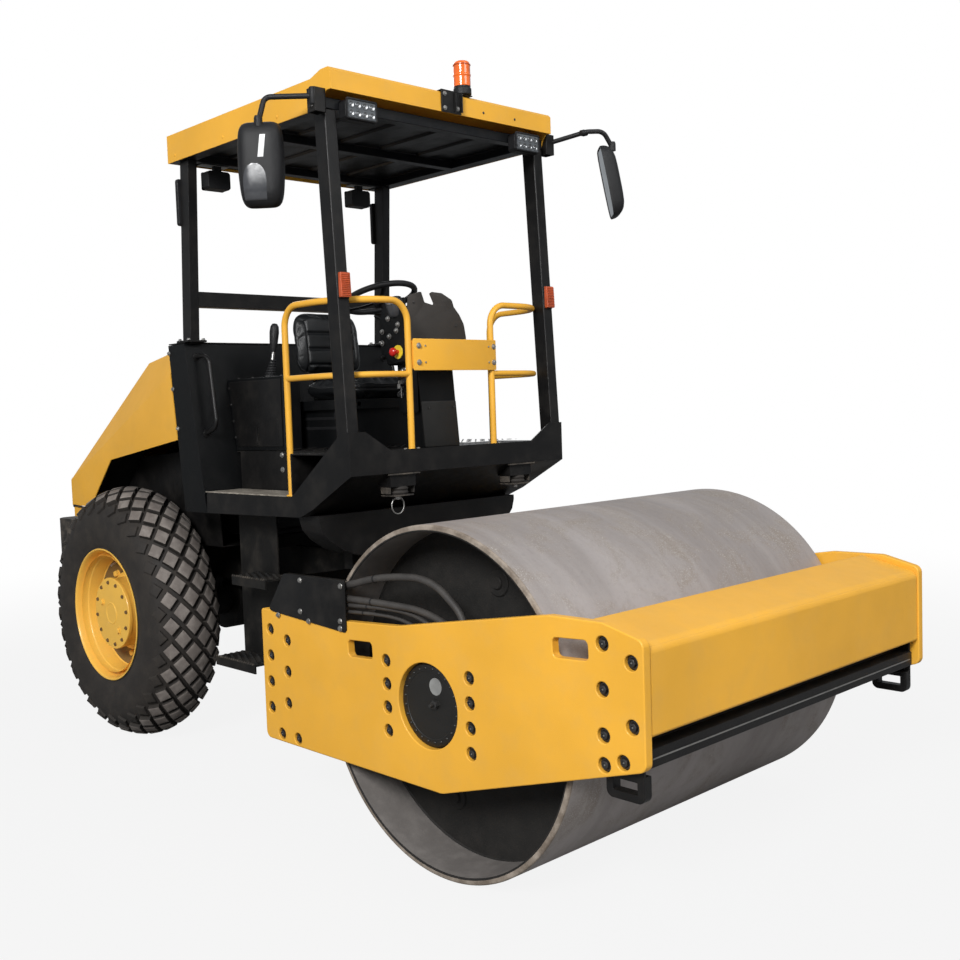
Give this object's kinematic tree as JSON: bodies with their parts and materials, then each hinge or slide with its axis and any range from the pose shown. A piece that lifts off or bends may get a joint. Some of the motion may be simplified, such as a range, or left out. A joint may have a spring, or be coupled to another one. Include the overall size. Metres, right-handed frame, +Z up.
{
  "type": "single-drum road roller",
  "caption": "Ride-on soil roller with a smooth steel drum in front, an articulated frame, an open operator's platform under a flat roof and a sloping engine hood behind.",
  "frame": {"origin": "on the ground, half way along the machine's length, on its centre line", "axes": "+X forward towards the drum, +Y to the machine's left, +Z up"},
  "size_m": [4.49, 1.9214, 3.1759],
  "materials": {
    "yellow": "satin enamel",
    "black": "satin enamel",
    "worn_steel": "worn and scuffed",
    "tyre": "matt",
    "rubber": "matt",
    "vinyl": "satin",
    "black_plastic": "satin",
    "lamp": "glossy",
    "amber": "glossy",
    "engine": "painted",
    "chrome": "polished"
  },
  "bodies": {
    "rear_frame": {"chassis": "black", "rear_axle": "black", "engine_block": "engine", "engine_bay": "black", "rear_bumper": "black", "platform_frame": "black", "platform_floor": "black", "bulkhead": "black", "cabinets": "black", "seat_base": "black", "seat_cushion": "vinyl", "seat_back": "vinyl", "console": "black", "steering_wheel": "black_plastic", "front_posts": "black", "rear_posts": "black", "roof_frame": "black", "canopy": "yellow", "work_lamps": "lamp", "beacon": "amber", "marker_lamps": "amber", "mirrors": "black_plastic", "handrails": "yellow", "name_plate": "yellow", "steps": "black"},
    "hood": {"engine_hood": "yellow"},
    "hitch": {"hitch": "black"},
    "drum_frame": {"side_plate_right": "yellow", "side_plate_left": "yellow", "drum_carrier_right": "black", "drum_carrier_left": "black", "front_beam": "yellow", "scraper_bar": "black", "lashing_eyes": "black", "rear_crossbeam": "black", "hose_guard": "black", "drum_hoses": "rubber"},
    "drum": {"drum": "worn_steel"},
    "wheel_right": {"rim_right": "yellow", "tyre_right": "tyre"},
    "wheel_left": {"rim_left": "yellow", "tyre_left": "tyre"},
    "barrel_right": {"steering_barrel_right": "black"},
    "barrel_left": {"steering_barrel_left": "black"},
    "rod_right": {"steering_rod_right": "chrome"},
    "rod_left": {"steering_rod_left": "chrome"}
  },
  "joints": [
    {"name": "steering", "type": "hinge", "parent": "rear_frame", "child": "hitch", "pos_m": [-0.03, 0, 0.6], "axis": [0, 0, 1], "range_deg": [-33, 33]},
    {"name": "drum_frame_roll", "type": "hinge", "parent": "hitch", "child": "drum_frame", "pos_m": [0.135, 0, 0.6], "axis": [1, 0, 0], "range_deg": [-10, 10]},
    {"name": "drum_roll", "type": "hinge", "parent": "drum_frame", "child": "drum", "pos_m": [1.315, 0, 0.627], "axis": [0, 1, 0], "continuous": true},
    {"name": "wheel_right_roll", "type": "hinge", "parent": "rear_frame", "child": "wheel_right", "pos_m": [-1.257, -0.641, 0.653], "axis": [0, 1, 0], "continuous": true},
    {"name": "wheel_left_roll", "type": "hinge", "parent": "rear_frame", "child": "wheel_left", "pos_m": [-1.257, 0.641, 0.653], "axis": [0, 1, 0], "continuous": true},
    {"name": "hood_tilt", "type": "hinge", "parent": "rear_frame", "child": "hood", "pos_m": [-0.777, 0, 2], "axis": [0, 1, 0], "range_deg": [0, 55]},
    {"name": "cylinder_right_swing", "type": "hinge", "parent": "rear_frame", "child": "barrel_right", "pos_m": [-0.52, -0.29, 0.6], "axis": [0, 0, 1], "range_deg": [-4, 4]},
    {"name": "cylinder_left_swing", "type": "hinge", "parent": "rear_frame", "child": "barrel_left", "pos_m": [-0.52, 0.29, 0.6], "axis": [0, 0, 1], "range_deg": [-4, 4]},
    {"name": "cylinder_right_stroke", "type": "slide", "parent": "barrel_right", "child": "rod_right", "axis": [0.9735, 0.2285, 0], "range_m": [-0.092, 0.092]},
    {"name": "cylinder_left_stroke", "type": "slide", "parent": "barrel_left", "child": "rod_left", "axis": [0.9735, -0.2285, 0], "range_m": [-0.092, 0.092]}
  ],
  "couplings": [
    {"joint": "cylinder_right_swing", "follows": "steering", "ratio": -0.094},
    {"joint": "cylinder_left_swing", "follows": "steering", "ratio": -0.094},
    {"joint": "cylinder_right_stroke", "follows": "steering", "m_per_rad": 0.1586},
    {"joint": "cylinder_left_stroke", "follows": "steering", "m_per_rad": -0.1586}
  ]
}
